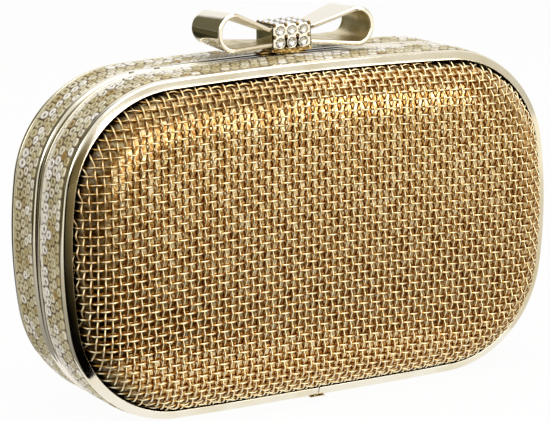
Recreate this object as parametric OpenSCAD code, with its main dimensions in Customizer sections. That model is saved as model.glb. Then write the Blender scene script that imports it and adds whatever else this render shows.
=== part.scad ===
/* [Case outline] */
// Width of the case, side to side
case_w = 190; // [176:1:204]
// Height of the case without the bow
case_h = 117.2; // [108:0.1:128]
// Radius of the four corners
corner_r = 40.5; // [36:0.5:44]
// Radius of the bowed sides
side_r = 161; // [140:1:220]
// Radius of the nearly flat top and bottom
top_r = 1250; // [1000:10:1600]
// Length of the flat that the case stands on
base_flat_w = 50; // [46:1:60]

/* [Case halves] */
// Gap between the two halves at the seam
seam_gap = 0.3; // [0.2:0.05:0.4]
// Width of each polished seam rim
seam_rim_w = 2.95; // [2.8:0.05:3.6]
// Rounding of a seam rim where the halves meet
seam_round = 1.4; // [1.2:0.05:1.5]
// Small bevel on the other edges of the rims
rim_bevel = 0.35; // [0.2:0.05:0.5]
// Width of each leather band
band_w = 15; // [13:0.5:18]
// Thickness of the leather
leather_t = 1.2; // [0.9:0.1:1.4]
// How far the edges of the leather are skived down
leather_skive = 0.4; // [0.2:0.05:0.6]
// Width of the skived edge of the leather
skive_w = 1.3; // [0.8:0.1:2]
// Thickness of the pressed metal wall
wall_t = 0.8; // [0.6:0.1:1]
// Width of the flange that carries the face
flange_w = 4.4; // [3.6:0.1:6]
// Thickness of the lining's stiff card
lining_t = 1.2; // [0.8:0.1:1.6]
// Gap between layers that lie on each other
layer_gap = 0.05; // [0.04:0.01:0.08]
// Room between the lining and the metal wall
lining_gap = 0.1; // [0.08:0.01:0.2]

/* [Faces] */
// Depth of the polished rim round a face
face_rim_w = 3.8; // [3:0.1:5]
// Radial width of the rim round a face
face_rim_t = 2.3; // [2:0.1:2.6]
// How far the rim sits below the leather
face_rim_inset = 0.3; // [0.2:0.05:0.5]
// Thickness of the ledge inside the rim
ledge_t = 0.6; // [0.5:0.05:0.8]
// Width of that ledge
ledge_w = 1.6; // [1.4:0.1:2]
// Gap of the butt joint at the bottom of the rim
joint_gap = 0.3; // [0.2:0.05:0.5]
// Width of the notch at the butt joint
joint_notch_w = 1.6; // [1:0.1:2]
// Length of the clip under the butt joint
joint_clip_l = 5.6; // [4:0.1:8]
// Depth of that clip
joint_clip_w = 2.4; // [2:0.1:2.8]
// Thickness of the sheet of woven wire
mesh_t = 1.2; // [1:0.1:1.5]
// Gap between the rim and the woven wire
mesh_gap = 0.4; // [0.3:0.05:0.6]
// Thickness of the panel behind the woven wire
panel_t = 0.6; // [0.5:0.05:0.8]
// Gap between the woven wire and its panel
panel_gap = 0.2; // [0.15:0.05:0.3]
// Width over which the face rises from its edge
dome_edge = 16; // [12:0.5:20]
// Height of that rise
dome_rise = 11.5; // [8:0.5:13]
// Further swell towards the middle
crown_rise = 1; // [0:0.5:4]
// How square the shoulder of the face is
dome_power = 2.4; // [2:0.1:3]

/* [Hinge] */
// Length of the hinge
hinge_l = 48; // [30:1:50]
// Number of knuckles
knuckles = 5; // [3:2:7]
// Outer radius of a knuckle
knuckle_r = 0.95; // [0.9:0.01:1]
// Radius of the hinge pin
hinge_pin_r = 0.45; // [0.4:0.01:0.5]
// Height of the hinge pin above the base
hinge_z = 1; // [0.98:0.01:1.05]
// Gap between knuckles
knuckle_gap = 0.2; // [0.15:0.05:0.4]
// Room round the knuckles
knuckle_room = 0.3; // [0.25:0.05:0.4]
// Thickness of a hinge leaf
leaf_t = 0.5; // [0.4:0.05:0.6]
// Depth of a hinge leaf
leaf_w = 8.7; // [7:0.1:11]
// Radius of a hinge rivet's shank
rivet_r = 0.7; // [0.5:0.05:0.9]
// Radius of a hinge rivet's head
rivet_head_r = 1.3; // [1.1:0.05:1.6]
// Height of a hinge rivet's head
rivet_head_h = 0.5; // [0.4:0.05:0.7]
// Rivets in each leaf
rivets = 3; // [2:1:5]

/* [Strap slots] */
// Distance from the middle to the inner slot
slot_x = 48.2; // [40:0.5:52]
// Distance between the two slots of a pair
slot_pitch = 9.6; // [8:0.1:12]
// Length of a slot
slot_l = 2.3; // [2:0.1:3]
// Width of a slot across the seam
slot_w = 1.9; // [1.4:0.1:2.2]

/* [Bow] */
// Height of the knot above the case
knot_lift = 1.3; // [1.2:0.05:1.6]
// Width of the knot
knot_w = 15.2; // [14:0.1:17]
// Depth of the knot
knot_d = 11.6; // [11:0.1:13]
// Height of the knot
knot_h = 9.3; // [9:0.1:10]
// Wall of the hollow knot
knot_wall = 1.05; // [0.95:0.05:1.1]
// Thickness of the bow's ribbon
ribbon_t = 1.5; // [1.2:0.1:1.8]
// Width of the ribbon where it leaves the knot
ribbon_root_w = 11; // [9:0.5:11]
// Width of the ribbon at the end of a loop
ribbon_end_w = 19.5; // [16:0.5:22]
// Half height of a loop at its front edge
loop_front_r = 6.8; // [6.2:0.1:7]
// Half height of a loop at its rear edge
loop_rear_r = 5.8; // [5.4:0.1:6.6]
// How far a loop reaches past its centre
loop_reach = 6; // [5:0.1:7]
// Distance from the middle to the centre of a loop
loop_x = 24.3; // [22:0.1:27]
// Height of the left loop's centre above the case
loop_left_z = 9.7; // [8.6:0.1:10]
// Height of the right loop's centre above the case
loop_right_z = 8.2; // [8.2:0.1:10]
// Height at which the lower strands leave the knot
strand_low_z = 3; // [2.8:0.1:3.2]
// Height at which the upper strands leave the knot
strand_high_z = 9.4; // [8.4:0.1:9.8]

/* [Crystals] */
// Girdle radius of a crystal
stone_r = 1.75; // [1.5:0.05:1.85]
// Radius of a crystal's flat table
table_r = 1; // [0.8:0.05:1.2]
// Height of a crystal above its girdle
stone_crown_h = 0.6; // [0.4:0.05:0.8]
// Depth of a crystal below its girdle
stone_point_h = 0.7; // [0.5:0.05:0.75]
// Room round a crystal in its seat
stone_room = 0.05; // [0.03:0.01:0.1]
// Distance between crystals across the knot
stone_pitch = 4.5; // [4.3:0.05:4.8]
// Distance between crystals up the knot
stone_rise = 4.1; // [4:0.05:4.4]
// Distance between crystals from front to rear
stone_run = 3.75; // [3.7:0.01:3.9]
// Radius of a claw bead
claw_r = 0.42; // [0.3:0.02:0.5]

/* [Clasp] */
// Thickness of the lever plate under the knot
lever_t = 0.8; // [0.7:0.05:1]
// Distance from the seam to the clasp pin
clasp_y = 3.3; // [3.2:0.05:3.35]
// Height of the clasp pin above the case
clasp_z = 1.7; // [1.65:0.05:1.8]
// Radius of the clasp pin
clasp_pin_r = 0.5; // [0.45:0.01:0.55]
// Running clearance round both pins
pin_room = 0.05; // [0.03:0.01:0.07]
// Outer radius of the lever's barrel and the lugs
barrel_r = 1.1; // [1.05:0.05:1.15]
// Thickness of the clasp's base plate
base_t = 0.5; // [0.4:0.05:0.55]
// Length of the clasp's base plate
base_l = 18; // [18:0.5:22]
// Rear edge of the base plate from the seam
base_rear_y = 4.6; // [4.5:0.05:4.8]
// Thickness of a lug
lug_t = 1; // [0.8:0.05:1.1]
// Distance between the inner faces of the lugs
lug_span = 10; // [9.6:0.1:10.2]
// Gap at the sides of the lever and spring
side_room = 0.2; // [0.1:0.05:0.3]
// Width of the hook under the lever
hook_w = 7; // [5:0.5:9]
// Thickness of the hook's nose
hook_d = 0.4; // [0.3:0.05:0.6]
// Reach of the hook below the lever
hook_h = 0.95; // [0.8:0.05:1]
// Slope of the hook's inner face from upright
hook_slope = 52; // [48:1:55]
// Width of the strike bar on the front half
strike_w = 8; // [6:0.5:10]
// Radius of the strike bar's round top
strike_r = 0.55; // [0.5:0.05:0.6]
// Distance from the seam to the strike bar
strike_y = 2.2; // [2.1:0.05:2.3]
// Room between the hook and the strike bar
hook_room = 0.3; // [0.25:0.05:0.4]
// Radius of the clasp spring's wire
spring_wire_r = 0.2; // [0.15:0.01:0.22]
// Mean radius of the clasp spring's coil
spring_r = 0.9; // [0.85:0.01:0.95]
// Turns of the clasp spring
spring_turns = 3; // [2:1:3]
// Pitch of the clasp spring
spring_pitch = 0.5; // [0.48:0.01:0.55]
// Length of the clasp spring's long leg
spring_leg_l = 3.4; // [2.8:0.1:3.6]
// Radius of a base rivet's shank
base_rivet_r = 0.6; // [0.5:0.05:0.7]
// Radius of a base rivet's head
base_rivet_head_r = 1.1; // [0.9:0.05:1.2]
// Height of a base rivet's head
base_rivet_head_h = 0.4; // [0.3:0.05:0.5]
// Margin of the base plate beyond its rivets
base_margin = 0.3; // [0.2:0.05:0.5]

/* [Hidden] */
$fn = 48;

// One overrun serves every cut
overrun = 1;

// Degrees of a full turn
full_turn = 360;

// Half sizes of the outline
half_w = case_w / 2;
half_h = case_h / 2;

// Distances from the seam plane to the ends of the parts of a half
seam_y = seam_gap / 2;
seam_rim_end = seam_y + seam_rim_w;
band_start = seam_rim_end + layer_gap;
band_end = band_start + band_w;
face_start = band_end + layer_gap;
face_end = face_start + face_rim_w;

// Depths below the outline of the layers of a wall
wall_out = leather_t + layer_gap;
wall_in = wall_out + wall_t;
lining_out = wall_in + lining_gap;
lining_in = lining_out + lining_t;
lining_floor_y = band_end - wall_t - layer_gap - lining_t;
flange_t = wall_t;
flange_in = wall_out + flange_w;
rim_in = face_rim_inset + face_rim_t;
ledge_in = rim_in + ledge_w;

// Places of the woven wire and the panel behind it
mesh_edge = rim_in + mesh_gap;
mesh_y = face_start + ledge_t + layer_gap;
panel_edge = max(ledge_in, mesh_edge + mesh_t) + panel_gap;
panel_y = face_start;
panel_rise = mesh_y + dome_rise - mesh_t - panel_gap - panel_y;

// Shares of the rise at which the rings of a face lie, and of its flat middle
rise_shares = [0, 0.03, 0.12, 0.3, 0.58, 1];
inner_rise_shares = [0, 0.12, 0.45, 1];
middle_shares = [0.6, 0.25];

// Facets along the right half of the outline, from the base to the top
base_steps = 3;
corner_steps = 10;
side_steps = 6;

// The arcs of the outline's right half meet tangentially
function meeting_point(c1, r1, c2, r2) =
    let (
        gap = norm(c2 - c1),
        along = (c2 - c1) / gap,
        reach = (r1 * r1 - r2 * r2 + gap * gap) / (2 * gap),
        side = sqrt(r1 * r1 - reach * reach)
    )
    c1 + along * reach + [-along[1], along[0]] * side;

function direction(v) = atan2(v[1], v[0]);

side_c = [half_w - side_r, 0];
top_c = [0, half_h - top_r];
low_c = [base_flat_w / 2, top_r - half_h];
high_corner_c = meeting_point(side_c, side_r - corner_r, top_c, top_r - corner_r);
low_corner_c = meeting_point(low_c, top_r - corner_r, side_c, side_r - corner_r);
high_side_angle = direction(high_corner_c - side_c);
high_top_angle = direction(high_corner_c - top_c);
low_side_angle = direction(low_corner_c - side_c);
low_base_angle = direction(low_corner_c - low_c);

function arc_points(c, r, from, to, steps) = [
    for (i = [0:steps - 1])
        let (angle = from + (to - from) * i / steps)
        c + r * [cos(angle), sin(angle)]
];

function right_side(inset) = concat(
    arc_points(low_c, top_r - inset, -90, low_base_angle, base_steps),
    arc_points(low_corner_c, corner_r - inset, low_base_angle, low_side_angle, corner_steps),
    arc_points(side_c, side_r - inset, low_side_angle, high_side_angle, side_steps),
    arc_points(high_corner_c, corner_r - inset, high_side_angle, high_top_angle, corner_steps),
    arc_points(top_c, top_r - inset, high_top_angle, 90, base_steps)
);

// The outline as [x, z] points, moved in by inset, with the base at z 0
function outline(inset) =
    let (right = right_side(inset), last = len(right) - 1)
    [
        for (p = right) p + [0, half_h],
        [0, case_h - inset],
        for (i = [last:-1:0]) [-right[i][0], right[i][1] + half_h]
    ];

outline_n = len(outline(0));

// A plate in the shape of the outline between two distances from the seam
module plate(inset, from, to) {
    translate([0, to, 0])
        rotate([90, 0, 0])
            linear_extrude(to - from)
                polygon(outline(inset));
}

// A wall that follows the outline between two depths below it
module wall(outer, inner, from, to) {
    difference() {
        plate(outer, from, to);
        plate(inner, from - overrun, to + overrun);
    }
}

function two_triangles(a, b, c, d) = [[a, b, c], [a, c, d]];

// A ring whose section is a closed list of [depth, distance from the seam]
module swept_ring(section) {
    n = outline_n;
    m = len(section);
    points = [
        for (s = section)
            for (p = outline(s[0]))
                [p[0], s[1], p[1]]
    ];
    faces = [
        for (j = [0:m - 1])
            for (i = [0:n - 1])
                let (k = (i + 1) % n, a = j * n, b = (j + 1) % m * n)
                each two_triangles(a + i, a + k, b + k, b + i)
    ];
    polyhedron(points, faces, convexity = 6);
}

// Height of a face above its own edge, at a depth past that edge
function shoulder(depth, rise) =
    let (share = min(1, max(0, depth / dome_edge)))
    rise * pow(1 - pow(1 - share, dome_power), 1 / dome_power);

function crown(p) =
    let (x = p[0] / half_w, z = (p[1] - half_h) / half_h)
    crown_rise * max(0, 1 - x * x - z * z);

function dome_ring(edge, y, rise, share) = [
    for (p = outline(edge + dome_edge * share))
        [p[0], y + shoulder(dome_edge * share, rise) + (share > 0 ? crown(p) : 0), p[1]]
];

function middle_ring(edge, y, rise, share) = [
    for (p = outline(edge + dome_edge))
        let (q = [p[0] * share, half_h + (p[1] - half_h) * share])
        [q[0], y + rise + crown(q), q[1]]
];

function dome_rings(edge, y, rise, shares) = [
    for (s = shares) dome_ring(edge, y, rise, s),
    for (s = middle_shares) middle_ring(edge, y, rise, s)
];

// The side faces between stacked rings that start at point number first
function ring_faces(first, count) = [
    for (j = [0:count - 2])
        for (i = [0:outline_n - 1])
            let (k = (i + 1) % outline_n, a = first + j * outline_n, b = a + outline_n)
            each two_triangles(a + i, a + k, b + k, b + i)
];

function cap_faces(first, centre) = [
    for (i = [0:outline_n - 1])
        [first + i, first + (i + 1) % outline_n, centre]
];

function flip(faces) = [for (f = faces) [for (i = [len(f) - 1:-1:0]) f[i]]];

// A pillow-shaped sheet of even thickness, open towards the seam
module domed_sheet(edge, y, rise, thickness, outer_shares) {
    outer = dome_rings(edge, y, rise, outer_shares);
    inner = dome_rings(edge + thickness, y, rise - thickness, inner_rise_shares);
    top = [0, y + rise + crown_rise, half_h];
    inner_first = len(outer) * outline_n;
    outer_centre = inner_first + len(inner) * outline_n;
    points = concat(
        [for (r = outer) each r],
        [for (r = inner) each r],
        [top, top - [0, thickness, 0]]
    );
    base = [
        for (i = [0:outline_n - 1])
            let (k = (i + 1) % outline_n)
            each two_triangles(inner_first + i, inner_first + k, k, i)
    ];
    faces = concat(
        ring_faces(0, len(outer)),
        cap_faces((len(outer) - 1) * outline_n, outer_centre),
        flip(ring_faces(inner_first, len(inner))),
        flip(cap_faces(inner_first + (len(inner) - 1) * outline_n, outer_centre + 1)),
        base
    );
    polyhedron(points, faces, convexity = 6);
}

// Everything is drawn on the rear half and mirrored for the front half
module in_front() {
    mirror([0, 1, 0])
        children();
}

module hinge_rivet_places() {
    step = (hinge_l - leaf_w) / (rivets - 1);
    for (i = [0:rivets - 1])
        translate([i * step - (hinge_l - leaf_w) / 2, seam_rim_end + (leaf_w - seam_rim_end) / 2, 0])
            children();
}

module shell() {
    difference() {
        union() {
            wall(wall_out, wall_in, band_start, band_end);
            wall(wall_out, flange_in, band_end - flange_t, band_end);
        }
        hinge_rivet_places()
            translate([0, 0, -overrun])
                cylinder(h = wall_in + 2 * overrun, r = rivet_r + pin_room);
    }
}

module band() {
    swept_ring([
        [leather_skive, band_start],
        [0, band_start + skive_w],
        [0, band_end - skive_w],
        [leather_skive, band_end],
        [leather_t, band_end],
        [leather_t, band_start]
    ]);
}

// Strap slots are cut half in each seam rim
module strap_slots() {
    for (side = [-1, 1])
        for (i = [0:1])
            translate([side * (slot_x + i * slot_pitch), 0, half_h])
                translate([-slot_l / 2, -overrun, 0])
                    cube([slot_l, slot_w / 2 + overrun, half_h + overrun]);
}

module hinge_recess() {
    translate([-hinge_l / 2 - knuckle_gap, -overrun, -overrun])
        cube([
            hinge_l + 2 * knuckle_gap,
            knuckle_r + knuckle_room + overrun,
            wall_in + leaf_t + 2 * overrun
        ]);
}

module base_rivet_places() {
    for (side = [-1, 1])
        translate([side * (base_l / 2 - base_rivet_head_r - base_margin), seam_y + seam_rim_w / 2, case_h])
            children();
}

module seam_rim() {
    difference() {
        swept_ring([
            [seam_round, seam_y],
            [seam_round * (1 - sin(30)), seam_y + seam_round * (1 - cos(30))],
            [seam_round * (1 - sin(60)), seam_y + seam_round * (1 - cos(60))],
            [0, seam_y + seam_round],
            [0, seam_rim_end - rim_bevel],
            [rim_bevel, seam_rim_end],
            [wall_in, seam_rim_end],
            [wall_in, seam_y]
        ]);
        strap_slots();
        hinge_recess();
    }
}

module rear_seam_rim_cut() {
    difference() {
        seam_rim();
        base_rivet_places()
            translate([0, 0, -wall_in - overrun])
                cylinder(h = wall_in + 2 * overrun, r = base_rivet_r + pin_room);
    }
}

// The rim is bent round the face and its ends meet at the middle of the base
module face_rim() {
    bevel = 2 * rim_bevel;
    difference() {
        swept_ring([
            [face_rim_inset, face_start],
            [face_rim_inset, face_end - 3 * rim_bevel],
            [face_rim_inset + rim_bevel, face_end - rim_bevel],
            [face_rim_inset + bevel, face_end],
            [rim_in - bevel, face_end],
            [rim_in, face_end - bevel],
            [rim_in, face_start + ledge_t],
            [ledge_in, face_start + ledge_t],
            [ledge_in, face_start]
        ]);
        translate([-joint_gap / 2, face_start - overrun, -overrun])
            cube([joint_gap, face_rim_w + 2 * overrun, ledge_in + 2 * overrun]);
        translate([0, face_end + overrun, rim_in])
            rotate([90, 0, 0])
                linear_extrude(face_rim_w - ledge_t + overrun)
                    polygon([
                        [-joint_notch_w / 2, overrun],
                        [-joint_notch_w / 2, 0],
                        [0, -face_rim_t / 2],
                        [joint_notch_w / 2, 0],
                        [joint_notch_w / 2, overrun]
                    ]);
    }
}

module rim_clip() {
    translate([-joint_clip_l / 2, face_end - 3 * rim_bevel - joint_clip_w, 0])
        cube([joint_clip_l, joint_clip_w, face_rim_inset - layer_gap]);
}

module face_panel() {
    domed_sheet(panel_edge, panel_y, panel_rise, panel_t, inner_rise_shares);
}

module woven_sheet() {
    domed_sheet(mesh_edge, mesh_y, dome_rise, mesh_t, rise_shares);
}

// The floor card of the lining lies on the flange
module lining_floor() {
    plate(lining_out, lining_floor_y, lining_floor_y + lining_t);
}

// The wall strip of the lining has a notch where the hinge leaf is riveted down
module lining_wall() {
    difference() {
        wall(lining_out, lining_in, seam_rim_end, lining_floor_y - layer_gap);
        translate([-hinge_l / 2 - lining_gap, -overrun, 0])
            cube([hinge_l + 2 * lining_gap, seam_y + leaf_w + lining_gap + overrun, half_h / 2]);
    }
}

// Knuckles with even numbers belong to the rear leaf, odd ones to the front
module knuckle_row(first) {
    pitch = hinge_l / knuckles;
    for (i = [first:2:knuckles - 1])
        translate([i * pitch - hinge_l / 2 + knuckle_gap / 2, 0, 0]) {
            translate([0, 0, hinge_z])
                rotate([0, 90, 0])
                    cylinder(h = pitch - knuckle_gap, r = knuckle_r);
            translate([0, seam_gap, hinge_z])
                cube([pitch - knuckle_gap, knuckle_r - seam_gap, wall_in + layer_gap + leaf_t - hinge_z]);
        }
}

module hinge_leaf(first) {
    difference() {
        union() {
            knuckle_row(first);
            translate([-hinge_l / 2, seam_gap, wall_in + layer_gap])
                cube([hinge_l, leaf_w - seam_gap, leaf_t]);
        }
        translate([-hinge_l / 2 - overrun, 0, hinge_z])
            rotate([0, 90, 0])
                cylinder(h = hinge_l + 2 * overrun, r = hinge_pin_r + pin_room);
        hinge_rivet_places()
            translate([0, 0, wall_in - overrun])
                cylinder(h = leaf_t + 2 * overrun, r = rivet_r + pin_room);
    }
}

module hinge_pin_rod() {
    translate([-hinge_l / 2, 0, hinge_z])
        rotate([0, 90, 0])
            cylinder(h = hinge_l, r = hinge_pin_r);
}

module hinge_rivets() {
    hinge_rivet_places() {
        translate([0, 0, wall_out])
            cylinder(h = wall_t + layer_gap + leaf_t, r = rivet_r);
        translate([0, 0, wall_in + 2 * layer_gap + leaf_t])
            cylinder(h = rivet_head_h, r1 = rivet_head_r, r2 = rivet_r);
        translate([0, 0, wall_in + leaf_t])
            cylinder(h = 2 * layer_gap, r = rivet_r);
    }
}

// Heights of the clasp's parts
plate_z = case_h + knot_lift;
lever_top = plate_z + lever_t;
pin_z = case_h + clasp_z;
barrel_l = lug_span - 2 * side_room - (spring_turns + 2) * spring_pitch;
base_z = case_h + layer_gap;

module along_x_at_pin(from, length, radius) {
    translate([from, clasp_y, pin_z])
        rotate([0, 90, 0])
            cylinder(h = length, r = radius);
}

module lug(side) {
    from = side > 0 ? lug_span / 2 : -lug_span / 2 - lug_t;
    along_x_at_pin(from, lug_t, barrel_r);
    translate([from, clasp_y - barrel_r, base_z])
        cube([lug_t, 2 * barrel_r, pin_z - base_z]);
}

module clasp_base_plate() {
    difference() {
        union() {
            translate([-base_l / 2, seam_gap, base_z])
                cube([base_l, base_rear_y - seam_gap, base_t]);
            lug(-1);
            lug(1);
        }
        along_x_at_pin(-lug_span, 2 * lug_span, clasp_pin_r);
        base_rivet_places()
            translate([0, 0, -overrun])
                cylinder(h = base_t + 2 * overrun, r = base_rivet_r + pin_room);
    }
}

module base_rivets() {
    base_rivet_places() {
        translate([0, 0, -wall_in])
            cylinder(h = wall_in + layer_gap + base_t + layer_gap, r = base_rivet_r);
        translate([0, 0, base_t + 2 * layer_gap])
            cylinder(h = base_rivet_head_h, r1 = base_rivet_head_r, r2 = base_rivet_r);
    }
}

module clasp_pin_rod() {
    along_x_at_pin(-lug_span / 2 - lug_t, lug_span + 2 * lug_t, clasp_pin_r - layer_gap / 2);
}

// A torsion spring round the pin: its short leg stands on the base plate
// behind the pin and its long leg presses the lever down
spring_sides = 6;
spring_steps = 16 * spring_turns;
spring_sweep = 360 * spring_turns + 90;
spring_x = lug_span / 2 - side_room - spring_wire_r;
spring_end_x = spring_x - spring_pitch * spring_sweep / 360;

function spring_path() = concat(
    [[spring_x, clasp_y + spring_r, base_z + base_t + layer_gap]],
    [
        for (i = [0:spring_steps])
            let (share = i / spring_steps, angle = spring_sweep * share)
            [
                spring_x + (spring_end_x - spring_x) * share,
                clasp_y + spring_r * cos(angle),
                pin_z + spring_r * sin(angle)
            ]
    ],
    [[spring_end_x, clasp_y - spring_leg_l, lever_top + spring_wire_r + layer_gap]]
);

function unit(v) = v / norm(v);

// The tube's rings stand square to the path, with one axis turned to the side
function tube_ring(path, i) =
    let (
        before = path[max(0, i - 1)],
        after = path[min(len(path) - 1, i + 1)],
        along = unit(after - before),
        across = unit(cross(along, [1, 0, 0])),
        third = cross(along, across)
    )
    [
        for (s = [0:spring_sides - 1])
            path[i] + spring_wire_r * (cos(360 * s / spring_sides) * across + sin(360 * s / spring_sides) * third)
    ];

module tube(path) {
    n = spring_sides;
    last = len(path) - 1;
    points = [for (i = [0:last]) each tube_ring(path, i)];
    faces = concat(
        [
            for (j = [0:last - 1])
                for (i = [0:n - 1])
                    let (k = (i + 1) % n, a = j * n, b = a + n)
                    each two_triangles(a + i, a + k, b + k, b + i)
        ],
        [[for (i = [n - 1:-1:0]) i]],
        [[for (i = [0:n - 1]) last * n + i]]
    );
    polyhedron(points, faces, convexity = 8);
}

module torsion_spring() {
    tube(spring_path());
}

// The strike is a foot on the front seam rim with a round-topped bar
bar_z = plate_z - side_room - strike_r;

module strike_bar() {
    translate([-strike_w / 2, strike_y, bar_z])
        rotate([0, 90, 0])
            cylinder(h = strike_w, r = strike_r);
    translate([-strike_w / 2, strike_y - strike_r, base_z])
        cube([strike_w, 2 * strike_r, bar_z - base_z]);
    translate([-strike_w / 2, seam_gap, base_z])
        cube([strike_w, strike_y - seam_gap, side_room]);
}

// The lever carries the knot, and its barrel turns on the clasp pin
module lever() {
    barrel_from = -lug_span / 2 + side_room;
    difference() {
        union() {
            translate([-knot_w / 2, -knot_d / 2, plate_z])
                cube([knot_w, knot_d / 2 + clasp_y - barrel_r - hook_room, lever_t]);
            along_x_at_pin(barrel_from, barrel_l, barrel_r);
            translate([barrel_from, 0, plate_z])
                cube([barrel_l, clasp_y, lever_t]);
        }
        along_x_at_pin(-lug_span, 2 * lug_span, clasp_pin_r + pin_room);
    }
}

// The hook's sloped face snaps over the round bar and slides up it when pulled
hook_lift = plate_z - bar_z;
hook_y = strike_y + (strike_r + hook_room - hook_lift * sin(hook_slope)) / cos(hook_slope);
hook_run = hook_h * tan(hook_slope);

module hook_nose() {
    translate([hook_w / 2, -hook_y, plate_z])
        rotate([-90, 0, 90])
            linear_extrude(hook_w)
                polygon([[0, 0], [-hook_run, hook_h], [-hook_run - hook_d, hook_h], [-hook_run - hook_d, 0]]);
}

// The knot is a hollow box set with crystals on three sides
stone_low_z = lever_top + (knot_h - lever_t) / 2 - stone_rise / 2;

module front_stone_places() {
    for (column = [-1:1])
        for (row = [0:1])
            translate([column * stone_pitch, -knot_d / 2, stone_low_z + row * stone_rise])
                rotate([90, 0, 0])
                    children();
}

module top_stone_places() {
    for (column = [-1:1])
        for (row = [-1:1])
            translate([column * stone_pitch, row * stone_run, plate_z + knot_h])
                children();
}

claw_facets = 16;

module front_claws() {
    for (column = [-1.5:1.5])
        for (row = [-0.5:1.5])
            translate([column * stone_pitch, -knot_d / 2, stone_low_z + row * stone_rise])
                sphere(r = claw_r, $fn = claw_facets);
}

module top_claws() {
    for (column = [-1.5:1.5])
        for (row = [-1.5:1.5])
            translate([column * stone_pitch, row * stone_run, plate_z + knot_h])
                sphere(r = claw_r, $fn = claw_facets);
}

module stone() {
    cylinder(h = stone_crown_h, r1 = stone_r, r2 = table_r);
    translate([0, 0, -stone_point_h])
        cylinder(h = stone_point_h, r1 = 0, r2 = stone_r);
}

module stone_seat() {
    translate([0, 0, -stone_point_h - stone_room])
        cylinder(h = stone_point_h + stone_room + overrun, r = stone_r + stone_room);
}

module knot_box() {
    difference() {
        translate([-knot_w / 2, -knot_d / 2, lever_top])
            cube([knot_w, knot_d, knot_h - lever_t]);
        translate([-knot_w / 2 + knot_wall, -knot_d / 2 + knot_wall, lever_top - overrun])
            cube([knot_w - 2 * knot_wall, knot_d - 2 * knot_wall, knot_h - lever_t - knot_wall + overrun]);
        front_stone_places()
            stone_seat();
        mirror([0, 1, 0])
            front_stone_places()
                stone_seat();
        top_stone_places()
            stone_seat();
    }
    front_claws();
    mirror([0, 1, 0])
        front_claws();
    top_claws();
}

// A loop's ribbon runs from the knot under, round and over to the knot again
loop_steps = 18;
strand_x = knot_w / 2;

// The end of a loop is a circle about its centre, narrowed to its reach
function loop_path(r, reach, low, high, centre_z) =
    let (
        narrow = reach / r,
        root_x = (strand_x - loop_x) / narrow,
        from_p = [root_x, low - centre_z],
        to_p = [root_x, high - centre_z],
        from = direction(from_p) + acos(r / norm(from_p)),
        to = direction(to_p) - acos(r / norm(to_p)),
        turn = (to - from + 2 * full_turn) % full_turn
    )
    concat(
        [[strand_x, low]],
        [
            for (i = [0:loop_steps])
                let (angle = from + turn * i / loop_steps)
                [loop_x + narrow * r * cos(angle), centre_z + r * sin(angle)]
        ],
        [[strand_x, high]]
    );

function ribbon_half_w(x) =
    let (share = min(1, max(0, (x - strand_x) / (loop_x - strand_x))))
    (ribbon_root_w + (ribbon_end_w - ribbon_root_w) * share) / 2;

function ribbon_edge(path, side) = [for (p = path) [p[0], side * ribbon_half_w(p[0]), p[1]]];

module ribbon_loop(centre_h) {
    low = case_h + strand_low_z;
    high = case_h + strand_high_z;
    centre_z = case_h + centre_h;
    inner_low = low + ribbon_t;
    inner_high = high - ribbon_t;
    inner_reach = loop_reach - ribbon_t;
    edges = [
        ribbon_edge(loop_path(loop_front_r, loop_reach, low, high, centre_z), -1),
        ribbon_edge(loop_path(loop_front_r - ribbon_t, inner_reach, inner_low, inner_high, centre_z), -1),
        ribbon_edge(loop_path(loop_rear_r - ribbon_t, inner_reach, inner_low, inner_high, centre_z), 1),
        ribbon_edge(loop_path(loop_rear_r, loop_reach, low, high, centre_z), 1)
    ];
    m = len(edges);
    last = len(edges[0]) - 1;
    points = [for (i = [0:last]) for (e = edges) e[i]];
    faces = concat(
        [
            for (j = [0:last - 1])
                for (i = [0:m - 1])
                    let (k = (i + 1) % m, a = m * j, b = a + m)
                    each two_triangles(a + i, a + k, b + k, b + i)
        ],
        [[for (i = [m - 1:-1:0]) i]],
        [[for (i = [0:m - 1]) m * last + i]]
    );
    polyhedron(points, faces, convexity = 6);
}

module rear_shell() color("#b9a26a") shell();
module rear_band() color("#c4bc98") band();
module rear_seam_rim() color("#e9e1c8") rear_seam_rim_cut();
module rear_face_rim() color("#ece5d0") face_rim();
module rear_rim_clip() color("#cdbf94") rim_clip();
module rear_panel() color("#8a5a24") face_panel();
module rear_mesh() color("#d3a95c") woven_sheet();
module rear_lining_wall() color("#2a2622") lining_wall();
module rear_lining_floor() color("#2a2622") lining_floor();
module front_shell() color("#b9a26a") in_front() shell();
module front_band() color("#c4bc98") in_front() band();
module front_seam_rim() color("#e9e1c8") in_front() seam_rim();
module front_face_rim() color("#ece5d0") in_front() face_rim();
module front_rim_clip() color("#cdbf94") in_front() rim_clip();
module front_panel() color("#8a5a24") in_front() face_panel();
module front_mesh() color("#d3a95c") in_front() woven_sheet();
module front_lining_wall() color("#2a2622") in_front() lining_wall();
module front_lining_floor() color("#2a2622") in_front() lining_floor();
module rear_hinge_leaf() color("#c9b780") hinge_leaf(0);
module front_hinge_leaf() color("#c9b780") in_front() hinge_leaf(1);
module hinge_pin() color("#a89a70") hinge_pin_rod();
module rear_hinge_rivets() color("#c9b780") hinge_rivets();
module front_hinge_rivets() color("#c9b780") in_front() hinge_rivets();
module clasp_base() color("#cdbf94") clasp_base_plate();
module clasp_base_rivets() color("#cdbf94") base_rivets();
module clasp_pin() color("#a89a70") clasp_pin_rod();
module clasp_spring() color("#9a9a98") torsion_spring();
module strike() color("#cdbf94") in_front() strike_bar();
module clasp_lever() color("#cdbf94") lever();
module clasp_hook() color("#cdbf94") hook_nose();
module knot() color("#e2d6ae") knot_box();
module bow_loop_right() color("#d9cfae") ribbon_loop(loop_right_z);
module bow_loop_left() color("#d9cfae") mirror([1, 0, 0]) ribbon_loop(loop_left_z);
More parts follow.
